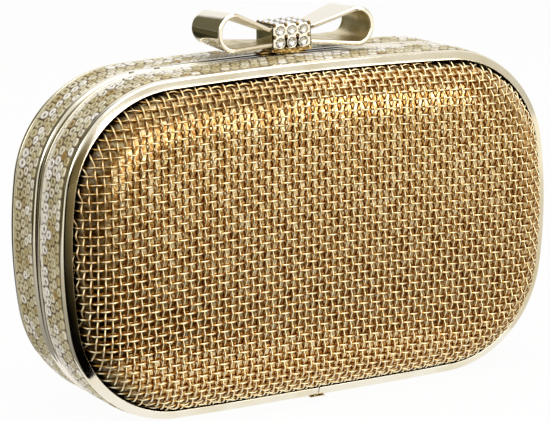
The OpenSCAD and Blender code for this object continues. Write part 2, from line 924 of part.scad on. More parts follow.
module front_crystals() color("#f4f6fa") front_stone_places() stone();
module top_crystals() color("#f4f6fa") top_stone_places() stone();
module rear_crystals() color("#f4f6fa") mirror([0, 1, 0]) front_stone_places() stone();

rear_shell();
rear_band();
rear_seam_rim();
rear_face_rim();
rear_rim_clip();
rear_panel();
rear_mesh();
rear_lining_wall();
rear_lining_floor();
front_shell();
front_band();
front_seam_rim();
front_face_rim();
front_rim_clip();
front_panel();
front_mesh();
front_lining_wall();
front_lining_floor();
rear_hinge_leaf();
front_hinge_leaf();
hinge_pin();
rear_hinge_rivets();
front_hinge_rivets();
clasp_base();
clasp_base_rivets();
clasp_pin();
clasp_spring();
strike();
clasp_lever();
clasp_hook();
knot();
bow_loop_left();
bow_loop_right();
front_crystals();
top_crystals();
rear_crystals();
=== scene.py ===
import math
from contextlib import contextmanager
import bpy
import numpy as np
from mathutils import Matrix, Vector


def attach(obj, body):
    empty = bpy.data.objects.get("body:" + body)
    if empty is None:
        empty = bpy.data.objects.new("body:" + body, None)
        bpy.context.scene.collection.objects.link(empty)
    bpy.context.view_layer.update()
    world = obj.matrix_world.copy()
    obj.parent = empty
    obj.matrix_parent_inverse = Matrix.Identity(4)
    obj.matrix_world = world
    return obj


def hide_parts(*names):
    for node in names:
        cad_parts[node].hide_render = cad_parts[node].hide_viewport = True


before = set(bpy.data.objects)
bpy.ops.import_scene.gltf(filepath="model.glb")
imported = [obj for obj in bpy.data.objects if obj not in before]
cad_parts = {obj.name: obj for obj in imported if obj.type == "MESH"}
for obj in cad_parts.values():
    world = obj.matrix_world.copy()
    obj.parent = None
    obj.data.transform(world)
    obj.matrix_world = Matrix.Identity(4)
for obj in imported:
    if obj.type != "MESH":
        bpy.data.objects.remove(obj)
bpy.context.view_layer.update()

MM = 0.001


# ---------------------------------------------------------------------------
# The camera: a long lens, a little above the case and to its left, level but
# for a slight roll. Its target is near the middle of the case.
# ---------------------------------------------------------------------------
azimuth, elevation, roll = math.radians(-29.22), math.radians(12.38), math.radians(-0.80)
distance, target = 896.9, Vector((-4.27, 0, 62.31)) * MM
back = Vector((
    math.sin(azimuth) * math.cos(elevation), -math.cos(azimuth) * math.cos(elevation), math.sin(elevation)
))
level_right = (-back).cross(Vector((0, 0, 1))).normalized()
level_up = level_right.cross(-back)
right = level_right * math.cos(roll) + level_up * math.sin(roll)
up = level_up * math.cos(roll) - level_right * math.sin(roll)
eye = target + back * distance * MM
lens = bpy.data.cameras.new("camera")
lens.sensor_fit = "HORIZONTAL"
lens.sensor_width = 36
lens.lens = 169.75
lens.clip_start = 0.01
lens.clip_end = 50
camera = bpy.data.objects.new("camera", lens)
camera.matrix_world = Matrix.Translation(eye) @ Matrix((right, up, back)).transposed().to_4x4()
bpy.context.scene.collection.objects.link(camera)
bpy.context.scene.camera = camera
bpy.context.scene.view_settings.view_transform = "Standard"


# ---------------------------------------------------------------------------
# The studio: a pale sweep of floor, a large soft box overhead, a soft front
# light to the right of the camera and a weaker one on the left, in a dim warm
# room that polished metal sees as a white one with dark corners.
# ---------------------------------------------------------------------------
def linear(code):
    """An sRGB hex colour as linear RGBA."""
    parts = [int(code[i:i + 2], 16) / 255 for i in (1, 3, 5)]
    return [p / 12.92 if p <= 0.04045 else ((p + 0.055) / 1.055) ** 2.4 for p in parts] + [1]


def feed(node, inputs):
    """Fills a node's inputs, by name or in their order. A node or an output is linked, the rest are values."""
    for name, value in inputs.items() if isinstance(inputs, dict) else enumerate(inputs):
        if isinstance(value, bpy.types.Node):
            value = value.outputs[0]
        if isinstance(value, bpy.types.NodeSocket):
            node.id_data.links.new(value, node.inputs[name])
        else:
            node.inputs[name].default_value = value


def add(tree, kind, inputs=(), stops=(), **settings):
    """Adds a node with its inputs, the stops of its colour ramp and its settings."""
    node = tree.nodes.new("ShaderNode" + kind)
    for name, value in settings.items():
        setattr(node, name, value)
    if stops:
        spots = node.color_ramp.elements
        while len(spots) < len(stops):
            spots.new(0.5)
        for spot, (place, colour) in zip(spots, stops):
            spot.position = place
            spot.color = linear(colour)
    feed(node, inputs)
    return node


def material(name, surface="BsdfPrincipled", **sockets):
    """A new material with one shader on its output. Returns the material, its tree and the shader."""
    mat = bpy.data.materials.new(name)
    mat.use_nodes = True
    tree = mat.node_tree
    tree.nodes.clear()
    shader = add(tree, surface, {k.replace("_", " "): v for k, v in sockets.items()})
    add(tree, "OutputMaterial", [shader])
    return mat, tree, shader


def between(rise, full, last, gone, colour="#ffffff"):
    """Ramp stops that are bright only between two places."""
    return [(rise, "#000000"), (full, colour), (last, colour), (gone, "#000000")]


def active(obj):
    bpy.ops.object.select_all(action="DESELECT")
    obj.select_set(True)
    bpy.context.view_layer.objects.active = obj


def start(primitive, **settings):
    """A new primitive at its size and place, selected alone."""
    bpy.ops.object.select_all(action="DESELECT")
    primitive(**settings)
    bpy.ops.object.transform_apply()
    return bpy.context.object


@contextmanager
def editing(obj):
    """Edit mode on one piece, with all of it selected."""
    active(obj)
    bpy.ops.object.mode_set(mode="EDIT")
    bpy.ops.mesh.select_all(action="SELECT")
    yield
    bpy.ops.object.mode_set(mode="OBJECT")


white = (1, 1, 1, 1)
floor = start(bpy.ops.mesh.primitive_grid_add, x_subdivisions=8, y_subdivisions=8, size=16)
floor.name = "studio_floor"
paper, tree, shader = material("White background paper", Base_Color=linear("#f4f3f0"), Roughness=0.9)
rays = add(tree, "LightPath").outputs
seen = add(tree, "Math", [rays["Is Camera Ray"], rays["Is Glossy Ray"]], operation="MAXIMUM")
seen = add(tree, "Math", [seen, rays["Is Transmission Ray"]], operation="MAXIMUM")
share = add(tree, "Math", [seen, 0.96], operation="MULTIPLY")
glow = add(tree, "Emission", {"Color": white, "Strength": 1.0})
feed(tree.nodes["Material Output"], [add(tree, "MixShader", [share, shader, glow])])
floor.data.materials.append(paper)

# Cards laid round the case on the table, which only the polished metal
# mirrors: a black one by the camera, pale on the right, olive behind on the
# left. Places round them count from 0 at the left over 0.25 in front, 0.5 at
# the right and 0.75 behind, here and in the room.
cards_reach, cards_width, cards_height = 7.5, 7.39, 0.0006
cards = start(
    bpy.ops.mesh.primitive_circle_add, vertices=64, radius=cards_reach, fill_type="NGON", location=(0, 0, cards_height)
)
cards.name = "studio_cards"
with editing(cards):
    bpy.ops.mesh.inset(thickness=cards_width)
    bpy.ops.mesh.delete(type="FACE")
cards.visible_camera = cards.visible_diffuse = cards.visible_shadow = cards.visible_transmission = False
card, tree, shader = material("Matt studio cards", "Emission")
spot = add(tree, "TexCoord").outputs["Object"]
turn = add(tree, "TexGradient", [spot], gradient_type="RADIAL").outputs["Fac"]
tints = add(tree, "ValToRGB", [turn], [
    (0.0, "#f6f2e8"), (0.02, "#f2ede0"), (0.034, "#0c0b09"), (0.11, "#0c0b09"), (0.145, "#4a422e"),
    (0.19, "#766947"), (0.248, "#857654"), (0.27, "#f1ecdf"), (0.33, "#fbf8f0"), (0.43, "#e6dfce"),
    (0.465, "#efe9da"), (0.6, "#efe9da"), (0.63, "#f6f2e8"), (0.76, "#f6f2e8"), (0.79, "#4a4735"),
    (0.84, "#1d1a14"), (0.86, "#12100b"), (0.878, "#f6f2e8"), (1.0, "#f6f2e8"),
])
reach = add(tree, "VectorMath", [spot], operation="LENGTH").outputs["Value"]
afar = add(tree, "MapRange", [reach, 0.39, 0.49])
olive = add(tree, "ValToRGB", [turn], between(0.8, 0.83, 0.92, 0.935))
olive = add(tree, "Math", [olive, afar], operation="MULTIPLY")
tints = add(tree, "MixRGB", [olive, tints, linear("#48452f")])
strength = add(tree, "MapRange", [reach, 0.1, 0.55, 0.32, 1.25])
pale_side = add(tree, "ValToRGB", [turn], between(0.36, 0.43, 0.62, 0.65, "#f6f6f6"))
strength = add(tree, "Math", [strength, pale_side], operation="MAXIMUM")
feed(shader, {"Color": tints, "Strength": strength})
cards.data.materials.append(card)

# The room: its light, what polished metal and glass see, and the camera's white
room = bpy.data.worlds.new("room")
bpy.context.scene.world = room
room.use_nodes = True
tree = room.node_tree
tree.nodes.clear()
way = add(tree, "TexCoord").outputs["Generated"]
spread = add(tree, "SeparateXYZ", [way]).outputs
height = add(tree, "ValToRGB", [spread["Z"]], [(0.0, "#a6a195"), (0.3, "#908b80"), (1.0, "#e2dfd8")])
side = add(tree, "MapRange", [spread["X"], -1.0, 1.0, 1.15, 0.5])
lit = add(tree, "MixRGB", [1.0, height, side], blend_type="MULTIPLY")
behind = add(tree, "MapRange", [spread["Y"], 0.0, 0.3])
tall = add(tree, "ValToRGB", [spread["Z"]], [(0.0, "#d2cdc0"), (0.3, "#e9e5db"), (1.0, "#f4f1ea")])
right_side = add(tree, "MapRange", [spread["X"], 0.45, 0.8, 1.0, 0.95])
front_lit = add(tree, "MixRGB", [1.0, tall, right_side], blend_type="MULTIPLY")
mirrored_room = add(tree, "MixRGB", [behind, front_lit, white])
turn = add(tree, "TexGradient", [way], gradient_type="RADIAL").outputs["Fac"]
left_corner = add(tree, "ValToRGB", [turn], between(0.745, 0.775, 0.9, 0.92))
near_side = add(tree, "ValToRGB", [turn], between(0.022, 0.034, 0.248, 0.27))
near_tint = add(tree, "ValToRGB", [turn], [
    (0.11, "#0c0b09"), (0.145, "#4a422e"), (0.19, "#766947"), (0.248, "#857654"),
])
for place, low, high, tint in ((left_corner, 0.62, 0.76, linear("#6a6751")), (near_side, 0.26, 0.44, near_tint)):
    below = add(tree, "MapRange", [spread["Z"], low, high, 1.0, 0.0])
    dark = add(tree, "Math", [place, below], operation="MULTIPLY")
    mirrored_room = add(tree, "MixRGB", [dark, mirrored_room, tint])
rays = add(tree, "LightPath").outputs
seen = add(tree, "Math", [rays["Is Glossy Ray"], rays["Is Transmission Ray"]], operation="MAXIMUM")
dim = add(tree, "Background", [lit, 0.8])
sweep = add(tree, "Background", [mirrored_room, 1.0])
backdrop = add(tree, "Background", [white, 1.0])
pick = add(tree, "MixShader", [seen, dim, sweep])
pick = add(tree, "MixShader", [rays["Is Camera Ray"], pick, backdrop])
add(tree, "OutputWorld", [pick])


def soft_box(name, place, aim, width, height, watts, tint="#ffffff"):
    lamp = bpy.data.lights.new(name, "AREA")
    lamp.shape = "RECTANGLE"
    lamp.size, lamp.size_y = width, height
    lamp.energy = watts
    lamp.color = linear(tint)[:3]
    obj = bpy.data.objects.new(name, lamp)
    obj.location = place
    obj.rotation_euler = (Vector(aim) - Vector(place)).to_track_quat("-Z", "Y").to_euler()
    obj.visible_camera = False
    bpy.context.scene.collection.objects.link(obj)


soft_box("overhead", (0.05, -0.25, 1.15), (0, 0, 0.06), 1.1, 0.8, 7.5)
soft_box("front", (0.4, -1.5, 0.43), (0.25, 0, 0.06), 1.4, 0.8, 12.5, "#fffaf2")
soft_box("left", (-1.3, 0.1, 0.75), (0, 0, 0.06), 0.9, 0.6, 4.0)


# ---------------------------------------------------------------------------
# The case's outline: a rounded oval of eight arcs that meet smoothly, with a
# short flat under it. All rings follow it at some depth below it.
# ---------------------------------------------------------------------------
case_w, case_h, corner_r, side_r, top_r, flat_w = 190.0, 117.2, 40.5, 161.0, 1250.0, 50.0
half_w, half_h = case_w / 2, case_h / 2


def meet(c1, r1, c2, r2):
    """Where two circles cross."""
    c1, c2 = np.array(c1), np.array(c2)
    gap = np.linalg.norm(c2 - c1)
    way = (c2 - c1) / gap
    reach = (r1 * r1 - r2 * r2 + gap * gap) / (2 * gap)
    return c1 + way * reach + np.array([-way[1], way[0]]) * math.sqrt(r1 * r1 - reach * reach)


def heading(v):
    return math.atan2(v[1], v[0])


side_c, top_c = np.array([half_w - side_r, 0]), np.array([0, half_h - top_r])
low_c = np.array([flat_w / 2, top_r - half_h])
high_corner = meet(side_c, side_r - corner_r, top_c, top_r - corner_r)
low_corner = meet(low_c, top_r - corner_r, side_c, side_r - corner_r)
# Arcs from the base up: centre, radius, and the turns where each begins and ends
centres, radii = (low_c, low_corner, side_c, high_corner, top_c), (top_r, corner_r, side_r, corner_r, top_r)
turns = [
    -math.pi / 2, heading(low_corner - low_c), heading(low_corner - side_c),
    heading(high_corner - side_c), heading(high_corner - top_c), math.pi / 2,
]
arcs = list(zip(centres, radii, turns, turns[1:]))
# The right half from the middle of the base to the top, then its mirror:
# x, z from the oval's middle, and the outward direction
rows = [(x, -half_h, 0.0, -1.0) for x in np.linspace(0, flat_w / 2, 60, endpoint=False)]
for c, r, a, b in arcs:
    for t in np.linspace(a, b, 500, endpoint=False):
        rows.append((c[0] + r * math.cos(t), c[1] + r * math.sin(t), math.cos(t), math.sin(t)))
rows.append((0.0, half_h, 0.0, 1.0))
rows += [(-x, z, -nx, nz) for x, z, nx, nz in rows[-2::-1]]
rim_line = np.array(rows)
rim_run = np.concatenate([[0], np.cumsum(np.hypot(*np.diff(rim_line[:, :2], axis=0).T))])
around = rim_run[-1]


def on_outline(run, depth=0.0):
    """Points x, z of the outline at a run along it from the middle of the base, moved in by a depth."""
    line = [np.interp(run, rim_run, rim_line[:, i]) for i in range(4)]
    return line[0] - depth * line[2], line[1] - depth * line[3] + half_h


def depth_below(x, z):
    """How deep points lie inside the outline, with z from the base."""
    x, z = np.abs(x), z - half_h
    d = np.minimum(side_r - np.hypot(x - side_c[0], z), top_r - np.hypot(x, z - top_c[1]))
    low = np.where(x > flat_w / 2, top_r - np.hypot(x - low_c[0], z - low_c[1]), half_h + z)
    d = np.minimum(d, low)
    for c, r, a, b in (arcs[1], arcs[3]):
        turn = np.arctan2(z - c[1], x - c[0])
        d = np.where((turn > a) & (turn < b), r - np.hypot(x - c[0], z - c[1]), d)
    return d


# ---------------------------------------------------------------------------
# Polished seam rims: a solid gilt rim on the edge of each half, rounded where
# the halves meet, drawn through a die and polished. The chain's four slots
# are cut into the seam on top, and a relief for the hinge under the base.
# ---------------------------------------------------------------------------
def twin(obj, move):
    """A copy with a mesh of its own, moved or turned over by a matrix."""
    other = obj.copy()
    other.data = obj.data.copy()
    bpy.context.scene.collection.objects.link(other)
    other.data.transform(move)
    return other


to_rear = Matrix.Diagonal((1, -1, 1, 1))


def mirrored(obj):
    """The same piece for the rear half."""
    other = twin(obj, to_rear)
    other.name = other.data.name = obj.name.replace("front", "rear")
    with editing(other):
        bpy.ops.mesh.flip_normals()
    return other


def fit(piece, half, node):
    """Fits a piece to its half of the case, in place of that half's CAD node."""
    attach(piece, half + "_half")
    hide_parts(half + node)


def store(mesh, name, values):
    """Keeps one number for each point of a mesh, for its material to read."""
    mesh.attributes.new(name, "FLOAT", "POINT").data.foreach_set("value", np.ravel(values).astype(np.float32))


def bent_grid(name, points, closed=False, **layers):
    """A grid primitive bent onto rows of points in mm, given as an array (across, along, 3).

    A closed one has its seams merged. Each layer is a number for every point, kept under its name.
    """
    across, along = points.shape[:2]
    obj = start(bpy.ops.mesh.primitive_grid_add, x_subdivisions=along - 1, y_subdivisions=across - 1, size=1)
    obj.name = obj.data.name = name
    obj.data.vertices.foreach_set("co", (points.reshape(-1, 3) * MM).ravel())
    for label, values in layers.items():
        store(obj.data, label, values)
    obj.data.polygons.foreach_set("use_smooth", np.ones(len(obj.data.polygons), bool))
    obj.data.update()
    if closed:
        with editing(obj):
            bpy.ops.mesh.remove_doubles(threshold=1e-6)
            bpy.ops.mesh.normals_make_consistent(inside=False)
    return obj


def round_case(section, steps):
    """Rows of points round the front half, one for each (depth, distance from the seam) of a section."""
    rows = []
    for depth, y in section:
        x, z = on_outline(np.linspace(0, around, steps + 1), depth)
        rows.append(np.stack([x, np.full_like(x, -y), z], 1))
    return rows


def swept(name, section, steps):
    """A ring round the front half with a closed section."""
    return bent_grid(name, np.array(round_case(section + section[:1], steps)), closed=True)


def arc_section(centre, radius, begin, end, steps):
    turns = np.radians(np.linspace(begin, end, steps))
    return [(centre[0] + radius * math.cos(t), centre[1] + radius * math.sin(t)) for t in turns]


def change(obj, kind, **settings):
    """Gives a piece a modifier and applies it."""
    active(obj)
    modifier = obj.modifiers.new(kind.lower(), kind)
    for name, value in settings.items():
        setattr(modifier, name, value)
    bpy.ops.object.modifier_apply(modifier=modifier.name)


def cut(obj, *cutters):
    """Cuts the cutters out of a piece."""
    for cutter in cutters:
        change(obj, "BOOLEAN", object=cutter, operation="DIFFERENCE", solver="EXACT")
        bpy.data.objects.remove(cutter)


def block(low, high, bevel=0.0):
    """A cube primitive between two corners in mm, its edges rounded."""
    low, high = np.array(low, float), np.array(high, float)
    obj = start(
        bpy.ops.mesh.primitive_cube_add, size=1, location=tuple((low + high) / 2 * MM), scale=tuple((high - low) * MM)
    )
    if bevel:
        with editing(obj):
            bpy.ops.mesh.bevel(offset=bevel * MM, segments=3, affect="EDGES")
    return obj


def smooth(obj, angle):
    active(obj)
    bpy.ops.object.shade_smooth_by_angle(angle=math.radians(angle))
    return obj


# The front half's ring goes round its section: seam side, outer face, foot.
slot_places, slot_half_l, slot_half_w, slot_deep = (-57.8, -48.2, 48.2, 57.8), 1.15, 0.95, 4
relief_half_l, relief_half_w, relief_top = 24.3, 1.3, 2.4
seam_section = (
    [(2.05, 0.15), (1.4, 0.15)] + arc_section((1.4, 1.55), 1.4, 270, 180, 12)[1:]
    + [(0.0, 2.2), (0.02, 2.6)] + arc_section((0.35, 2.75), 0.35, 180, 90, 4) + [(2.05, 3.1)]
)
front_seam = swept("front_seam_rim_bead", seam_section, 1000)
slots = [
    block((x - slot_half_l, -slot_half_w, case_h - slot_deep), (x + slot_half_l, slot_half_w, case_h + 2), 0.4)
    for x in slot_places
]
hinge_relief = block((-relief_half_l, -relief_half_w, -1), (relief_half_l, relief_half_w, relief_top), 0.2)
cut(front_seam, *slots, hinge_relief)
smooth(front_seam, 40)

# Champagne-gold plate on brass: a pale mirror with faint polishing lines
# round the case, a little cloudier where hands rub it, and painted shade,
# dark brown in streaks, on the seam under the bow.
rim_gilt, tree, shader = material("Polished champagne gold plate", Metallic=1.0)
coords = add(tree, "TexCoord").outputs
rub = add(tree, "TexNoise", {"Vector": coords["Object"], "Scale": 60.0, "Detail": 4.0})
tint = add(tree, "ValToRGB", [rub], [(0.3, "#e6dcc0"), (0.5, "#f0e9d6"), (0.75, "#f6f1e4")])
haze = add(tree, "MapRange", [rub, 0.35, 0.7, 0.07, 0.2])
lines = add(tree, "Mapping", {"Vector": coords["UV"], "Scale": (24, 60, 1)})
fine = add(tree, "TexNoise", {"Vector": lines, "Scale": 1.0, "Detail": 3.0})
bump = add(tree, "Bump", {"Height": fine, "Strength": 0.2, "Distance": 0.00006})
# Painted shade: dark brown streaks on top of the seam, from under the left loop to right of the knot
place = add(tree, "SeparateXYZ", [coords["Object"]]).outputs
on_seam = add(tree, "Math", [place["Y"], 0.0, 0.004], operation="COMPARE")
on_top = add(tree, "MapRange", [place["Z"], 0.1, 0.112])
from_left = add(tree, "MapRange", [place["X"], -0.056, -0.024])
to_right = add(tree, "MapRange", [place["X"], 0.016, 0.034, 1.0, 0.0])
streaks = add(tree, "Mapping", {"Vector": coords["Object"], "Scale": (40, 1600, 40)})
streaks = add(tree, "TexNoise", {"Vector": streaks, "Scale": 1.0, "Detail": 3.0})
bow_shade = add(tree, "MapRange", [streaks, 0.38, 0.52])
for part in (from_left, to_right, on_seam, on_top):
    bow_shade = add(tree, "Math", [bow_shade, part], operation="MULTIPLY")
tint = add(tree, "MixRGB", [bow_shade, tint, linear("#2a1b0e")])
feed(shader, {"Base Color": tint, "Roughness": haze, "Normal": bump})
front_seam.data.materials.append(rim_gilt)
for half, rim in (("front", front_seam), ("rear", mirrored(front_seam))):
    fit(rim, half, "_seam_rim")


# ---------------------------------------------------------------------------
# Polished rims round the faces: a drawn strip with a rounded outer side and
# a sloped front, bent round and butted at the bottom, where a small clip
# holds the joint.
# ---------------------------------------------------------------------------
face_section = (
    [(3.5, 20.3), (3.5, 18.9), (3.5, 18.2), (0.7, 18.2)] + arc_section((0.75, 18.65), 0.42, 250, 180, 4)
    + arc_section((1.9, 19.7), 1.5, 176, 118, 10) + arc_section((8.7, 6.89), 16.0, 117, 110, 6)
    + arc_section((3.296, 21.737), 0.2, 95, 5, 6)
)
front_rim = swept("front_face_rim_strip", face_section, 1000)
joint_gap, notch_r = 0.3, 1.1
joint = block((-joint_gap / 2, -23, -1), (joint_gap / 2, -17, 4))
notch = start(
    bpy.ops.mesh.primitive_cylinder_add, vertices=4, radius=notch_r * MM, depth=5 * MM,
    location=(0, -22 * MM, 0.1 * MM), rotation=(math.radians(90), 0, 0)
)
cut(front_rim, joint, notch)
smooth(front_rim, 32)
front_rim.data.materials.append(rim_gilt)
for half, rim in (("front", front_rim), ("rear", mirrored(front_rim))):
    fit(rim, half, "_face_rim")


# ---------------------------------------------------------------------------
# Leather bands: thin foiled leather pressed with columns of ring-shaped
# scales, skived at its edges and glued round the metal wall between the rims.
# ---------------------------------------------------------------------------
band_start, band_w, leather_t = 3.15, 15.0, 1.2
scale_pitch, groove, edge_sway = 3.6, 0.42, 0.38
# Columns of scales from the seam outwards: where each starts and what it is
front_columns = [(0.0, "border"), (2.3, "bright"), (5.9, "mixed"), (9.3, "plain"), (12.2, "plain"), (15.0, "")]
rear_columns = [(0.0, "plain"), (2.7, "plain"), (5.5, "mixed"), (8.5, "bright"), (13.2, "border"), (15.0, "")]
share_bright = {"bright": 0.45, "mixed": 0.14, "plain": 0.02}
hole_depth = {"bright": 0.5, "mixed": 0.4, "plain": 0.25}


def clamp(share):
    return np.clip(share, 0, 1)


def scales(run, across, seed, columns):
    """Relief in mm (0 at the crests), tone with a painted highlight on the ring crests, and painted shade in the
    grooves, holes and nicks of the pressed scales, on arrays of places in mm.
    """
    chance = np.random.RandomState(seed)
    sway = 0.28 * np.sin(2 * math.pi * run / 31 + seed) + 0.16 * np.sin(2 * math.pi * run / 12.7)
    place_v = across + sway * clamp(np.minimum(across, band_w - across) / 2)
    relief = np.full_like(run, -groove)
    tone = np.full_like(run, 0.3)
    recess_shade = np.ones_like(run)
    edges = []
    for k, (place, kind) in enumerate(columns):
        straight = k == 0 or k == len(columns) - 1 or "border" in (kind, columns[k - 1][1])
        bend = np.cos(2 * math.pi * (run / scale_pitch + 0.5 * k))
        edges.append(place + (0 if straight else edge_sway) * bend)
    for k, (low, kind) in enumerate(columns[:-1]):
        high = columns[k + 1][0]
        if kind == "border":
            # A plain edge strip, grooved on the side of the scales and nicked across
            inside = (place_v >= low) & (place_v < high)
            gap = np.minimum(np.abs(place_v - low) if low else 9, np.abs(place_v - high) if high < band_w else 9)
            nick = (run / (1.5 * scale_pitch) + 0.1 * np.sin(run / 9)) % 1
            nicked = (np.abs(nick - 0.5) < 0.035) * clamp(gap * 9) * (gap < 1.1)
            relief = np.where(inside, -0.05 - 0.4 * clamp(1 - gap / 0.3), relief)
            tone = np.where(inside, 0.86 if low == 0 else 0.5, tone)
            # Painted shade in the groove beside the scales and in the nicks
            recess_shade = np.where(inside, np.maximum(0.7 * clamp(1 - gap / 0.25), nicked), recess_shade)
            continue
        # Rings: a and b run from -1 to 1 over each scale, r is 1 at its edge
        inside = (place_v >= edges[k]) & (place_v < edges[k + 1])
        count = int(around / scale_pitch) + 4
        stagger = 0.5 * (k % 2) + 0.12 * np.sin(run / 17 + k)
        cell = run / scale_pitch + stagger
        index = np.floor(cell).astype(int) % count
        a = (cell % 1 - 0.5) * 2
        b = ((place_v - edges[k]) / (edges[k + 1] - edges[k]) - 0.5) * 2
        size = chance.uniform(0.9, 1.02, count)[index]
        corner = 2.8 if kind == "bright" else 3.4
        r = (np.abs(a / size) ** corner + np.abs(b / size) ** corner) ** (1 / corner)
        off_a, off_b = chance.uniform(-0.1, 0.1, (2, count))
        hole_r = chance.uniform(0.26, 0.42, count)[index] + 0.08
        hole = clamp((hole_r - np.hypot(a - off_a[index], b - off_b[index])) / 0.16)
        fall = clamp((r - 0.8) / 0.2)
        lift = chance.uniform(-0.12, 0.3 if kind == "bright" else 0.1, count)[index]
        sink = hole_depth[kind] * chance.uniform(0.7, 1.0, count)[index]
        luck = chance.uniform(0, 1, count)
        streak = np.convolve(luck, np.ones(3) / 3, "same")
        cell_tone = 0.46 + 0.19 * chance.randn(count)
        cell_tone[streak > np.quantile(streak, 1 - share_bright[kind])] = 0.97
        cell_tone[luck < 0.03] = 0.15
        # A painted highlight round each ring's crest; painted shade in the creases round each scale and in its hole,
        # darker in deeper holes
        painted_ring_highlight = 0.22 * clamp(1 - np.abs(r - 0.66) / 0.2)
        hole_shade = (0.5 + hole_depth[kind]) * hole * (1 if kind != "plain" else 0.7)
        relief = np.where(inside, lift - groove * fall ** 1.2 - sink * hole, relief)
        tone = np.where(inside, cell_tone[index] + painted_ring_highlight, tone)
        recess_shade = np.where(inside, clamp((r - 0.86) / 0.1) + hole_shade, recess_shade)
    return relief, clamp(tone), clamp(recess_shade)


def band(name, seed, columns):
    """One strip of leather on the front half's side of the seam, with its pressed relief and chipped edges."""
    steps, rows_across, chip_count, floor_clear = 1650, 54, 34, 0.03
    run = np.linspace(0, around, steps + 1)
    chance = np.random.RandomState(seed + 50)
    v = np.linspace(0, band_w, rows_across)
    grid_run, grid_v = np.meshgrid(run, v)
    relief, tone, recess_shade = scales(grid_run, grid_v, seed, columns)
    fine = chance.randn(rows_across, steps + 1) * 0.03
    fine[:, -1] = fine[:, 0]
    edge = np.minimum(grid_v, band_w - grid_v)
    skive = 0.38 * clamp(1 - edge / 1.2) ** 2
    depth = -relief * np.clip(edge / 0.7, 0.15, 1) + skive + np.abs(fine)
    chips = np.zeros_like(depth)
    for _ in range(chip_count):
        at, long, wide = chance.uniform(0, around), chance.uniform(0.8, 3.2), chance.uniform(0.25, 1.0)
        from_edge = grid_v if chance.rand() < 0.6 else band_w - grid_v
        shape = 1 - ((grid_run - at) / long) ** 2 - (from_edge / wide) ** 2
        chips = np.maximum(chips, clamp(shape * 3))
    depth += 0.35 * chips
    # The last row along must repeat the first one, so that the seam closes
    for layer in (depth, tone, recess_shade, chips):
        layer[:, -1] = layer[:, 0]
    # The back of the strip closes the section below the pressed face
    back_row = np.full((1, steps + 1), leather_t)
    depth = np.vstack([back_row, depth, back_row, back_row])
    points = []
    for row, y in zip(depth, [0.0, *v, band_w, 0.0]):
        x, z = on_outline(run, row)
        points.append(np.stack([x, np.full_like(x, -(band_start + y)), np.maximum(z, floor_clear)], 1))
    layers = {"tone": tone, "recess_shade": recess_shade, "chip": chips}
    layers = {label: np.vstack([layer[:1], layer, layer[-1:], layer[:1]]) for label, layer in layers.items()}
    return smooth(bent_grid(name, np.array(points), closed=True, **layers), 70)


front_band = band("front_leather_band", 3, front_columns)
rear_band = band("rear_leather_band", 11, rear_columns)
rear_band.data.transform(to_rear)
with editing(rear_band):
    bpy.ops.mesh.flip_normals()

# Pearly foil on leather: pale gold, a painted highlight on each ring's crest,
# painted shade in dark brown in the creases and holes, and dark raw fibre at chipped edges.
leather, tree, shader = material("Foiled pressed leather", Metallic=0.12, Roughness=0.36, IOR=1.5)
spot = add(tree, "TexCoord").outputs["Object"]
tone, recess_shade, chip = (add(tree, "Attribute", attribute_name=label).outputs["Fac"] for label in ("tone", "recess_shade", "chip"))
foil = add(tree, "ValToRGB", [tone], [
    (0.0, "#a8843e"), (0.3, "#c4b788"), (0.55, "#dad1ac"), (0.8, "#f3edda"), (1.0, "#fffdf6"),
])
grain = add(tree, "TexNoise", {"Vector": spot, "Scale": 900.0, "Detail": 3.0})
mottle = add(tree, "TexNoise", {"Vector": spot, "Scale": 240.0, "Detail": 4.0, "Roughness": 0.65})
crease = add(tree, "MapRange", [mottle, 0.34, 0.52, 0.6, 1.0])
# Painted shade: dark brown in the creases, grooves, holes and nicks, a little patchy
crease_shade = add(tree, "Math", [recess_shade, crease], operation="MULTIPLY")
creased = add(tree, "MixRGB", [crease_shade, foil, linear("#54360f")])
speck = add(tree, "MapRange", [grain, 0.5, 0.72, 0.0, 0.35])
specked = add(tree, "MixRGB", [speck, creased, linear("#8d7a4e")])
chipped = add(tree, "MixRGB", [chip, specked, linear("#241a10")])
bump = add(tree, "Bump", {"Height": grain, "Strength": 0.35, "Distance": 0.00012})
bump = add(tree, "Bump", {"Height": mottle, "Strength": 0.35, "Distance": 0.0003, "Normal": bump})
feed(shader, {"Base Color": chipped, "Normal": bump})
for half, strip in (("front", front_band), ("rear", rear_band)):
    strip.data.materials.append(leather)
    fit(strip, half, "_band")


# ---------------------------------------------------------------------------
# Woven wire faces: plain weave of crimped gilt brass wire, pressed to a
# pillow shape over the panel. Upright wires run unbroken, cross wires dip
# under every other one, and the weave drifts a few degrees as it was laid.
# ---------------------------------------------------------------------------
mesh_edge, mesh_y, dome_edge, dome_rise, crown_rise, dome_power = 3.55, 18.85, 16.0, 11.5, 1.0, 2.4
wire_r, upright_crimp, cross_crimp, wire_sides, wire_step = 0.31, 0.5, 0.3, 6, 0.53
column_pitch, row_pitch, first_column, first_row, lean = 2.562, 2.788, 1.5965, 0.1689, 0.0284


def crown(x, z):
    return crown_rise * np.maximum(0, 1 - (x / half_w) ** 2 - ((z - half_h) / half_h) ** 2)


def swell(s):
    """Share of the pillow's rise at a share of the way in from its edge."""
    return (1 - (1 - s) ** dome_power) ** (1 / dome_power)


def pillow(x, z):
    """Height of the pillow above its edge."""
    return dome_rise * swell(clamp((depth_below(x, z) - mesh_edge) / dome_edge)) + crown(x, z)


